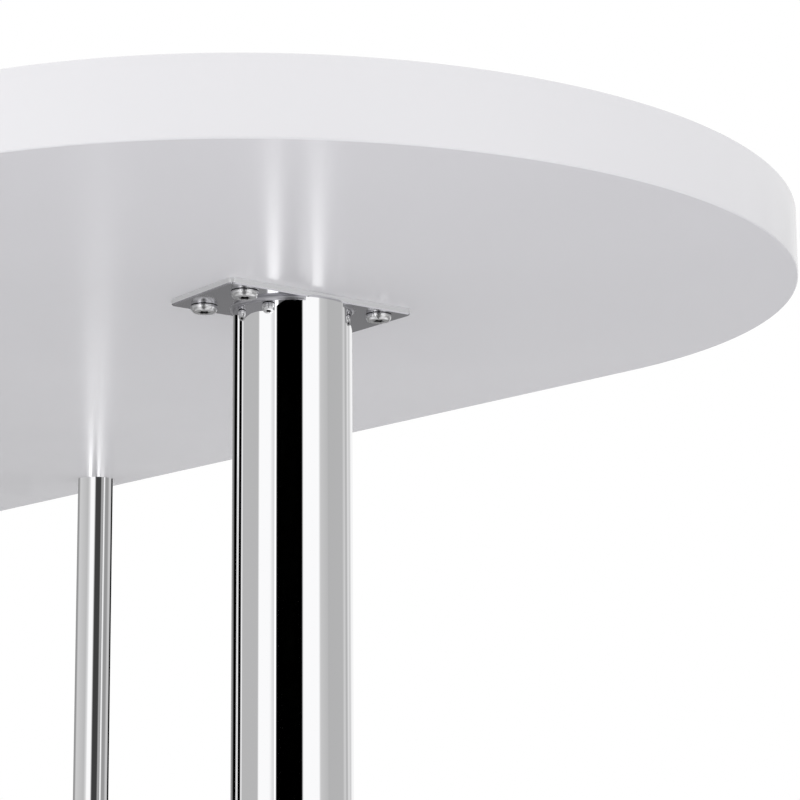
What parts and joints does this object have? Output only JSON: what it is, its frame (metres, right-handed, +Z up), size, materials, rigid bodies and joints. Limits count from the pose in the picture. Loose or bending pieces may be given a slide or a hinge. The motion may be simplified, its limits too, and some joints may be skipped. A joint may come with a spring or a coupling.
{
  "type": "bistro table",
  "caption": "Bar-height table: glossy white U-shaped top on a thick chrome column under the round end and thin chrome legs under the straight end.",
  "frame": {"origin": "on the floor, under the middle of the top's bounding box", "axes": "+X along the top towards its round end, +Y to the left long side, +Z up out of the top surface"},
  "size_m": [1.25, 0.55, 1.07],
  "materials": {
    "white_lacquer": "high-gloss white lacquer on fibreboard",
    "chrome_tube": "mirror chrome plate",
    "polished_steel": "polished",
    "screw_steel": "bright, nickel plated",
    "zinc_steel": "zinc plated",
    "black_plastic": "fine-grained moulding",
    "grey_rubber": "matt"
  },
  "bodies": {
    "table": {"table_top": "white_lacquer", "plate_inserts": "zinc_steel", "leg_inserts": "zinc_steel", "column_plate": "polished_steel", "column_weld": "polished_steel", "column_plate_screws": "screw_steel", "column_tube": "chrome_tube", "column_plug_bush": "zinc_steel", "column_lock_nut": "zinc_steel", "column_end_plug": "black_plastic", "left_leg_tube": "chrome_tube", "left_leg_plug_bush": "zinc_steel", "left_leg_lock_nut": "zinc_steel", "left_leg_end_plug": "black_plastic", "right_leg_tube": "chrome_tube", "right_leg_plug_bush": "zinc_steel", "right_leg_lock_nut": "zinc_steel", "right_leg_end_plug": "black_plastic", "left_leg_top_plug": "zinc_steel", "left_leg_stud": "zinc_steel", "right_leg_top_plug": "zinc_steel", "right_leg_stud": "zinc_steel"},
    "column_pad": {"column_foot_pad": "black_plastic", "column_foot_sole": "grey_rubber"},
    "column_screw": {"column_foot_screw": "zinc_steel"},
    "left_leg_pad": {"left_leg_foot_pad": "black_plastic", "left_leg_foot_sole": "grey_rubber"},
    "left_leg_screw": {"left_leg_foot_screw": "zinc_steel"},
    "right_leg_pad": {"right_leg_foot_pad": "black_plastic", "right_leg_foot_sole": "grey_rubber"},
    "right_leg_screw": {"right_leg_foot_screw": "zinc_steel"}
  },
  "joints": [
    {"name": "column_foot_travel", "type": "slide", "parent": "table", "child": "column_pad", "axis": [0, 0, -1], "range_m": [0, 0.012]},
    {"name": "column_foot_turn", "type": "hinge", "parent": "column_pad", "child": "column_screw", "pos_m": [0.365, 0, 0.02], "axis": [0, 0, -1], "range_deg": [0, 2880.01]},
    {"name": "left_leg_foot_travel", "type": "slide", "parent": "table", "child": "left_leg_pad", "axis": [0, 0, -1], "range_m": [0, 0.012]},
    {"name": "left_leg_foot_turn", "type": "hinge", "parent": "left_leg_pad", "child": "left_leg_screw", "pos_m": [-0.3, 0.238, 0.02], "axis": [0, 0, -1], "range_deg": [0, 3456.01]},
    {"name": "right_leg_foot_travel", "type": "slide", "parent": "table", "child": "right_leg_pad", "axis": [0, 0, -1], "range_m": [0, 0.012]},
    {"name": "right_leg_foot_turn", "type": "hinge", "parent": "right_leg_pad", "child": "right_leg_screw", "pos_m": [-0.3, -0.238, 0.02], "axis": [0, 0, -1], "range_deg": [0, 3456.01]}
  ],
  "couplings": [
    {"joint": "column_foot_turn", "follows": "column_foot_travel", "rad_per_m": 4188.8},
    {"joint": "left_leg_foot_turn", "follows": "left_leg_foot_travel", "rad_per_m": 5026.5},
    {"joint": "right_leg_foot_turn", "follows": "right_leg_foot_travel", "rad_per_m": 5026.5}
  ]
}
